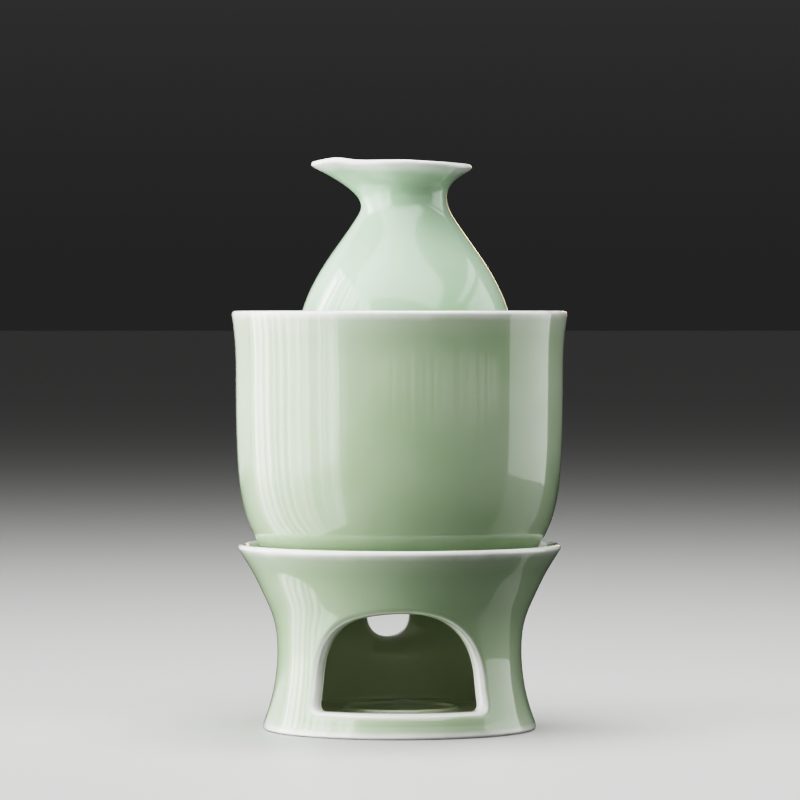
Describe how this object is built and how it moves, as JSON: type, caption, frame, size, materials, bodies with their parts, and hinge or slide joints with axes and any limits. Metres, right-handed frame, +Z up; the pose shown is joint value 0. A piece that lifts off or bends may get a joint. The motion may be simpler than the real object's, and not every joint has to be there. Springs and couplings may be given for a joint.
{
  "type": "sake bottle in a warming set",
  "caption": "Celadon porcelain sake bottle with a pulled pouring lip, standing in a hot-water bowl on a flared tea-light stand with a front arch and a rear air hole.",
  "frame": {"origin": "on the table, on the common axis of the bowl and the stand: the centre of the bottom of the object's box", "axes": "+Z up; -Y is the front, where the stand's arch opens; -X is the side that the bottle pours to"},
  "size_m": [0.118, 0.118, 0.2007],
  "materials": {
    "stand_glaze": "glossy pale green celadon, white where it thins over the lip, the arch's edge, the air hole and the base's edge; unglazed foot ring",
    "bowl_glaze": "glossy pale green celadon, white where it thins over the lip; unglazed foot ring",
    "bottle_glaze": "glossy pale green celadon, white where it thins over the lip; unglazed foot ring"
  },
  "bodies": {
    "stand": {"stand": "stand_glaze"},
    "warming_bowl": {"warming_bowl": "bowl_glaze"},
    "bottle": {"bottle": "bottle_glaze"}
  },
  "joints": [
    {"name": "bowl_lift", "type": "slide", "parent": "stand", "child": "warming_bowl", "axis": [0, 0, 1], "range_m": [0, 0.02]},
    {"name": "bottle_lift", "type": "slide", "parent": "warming_bowl", "child": "bottle", "axis": [0, 0, 1], "range_m": [0, 0.1]}
  ]
}
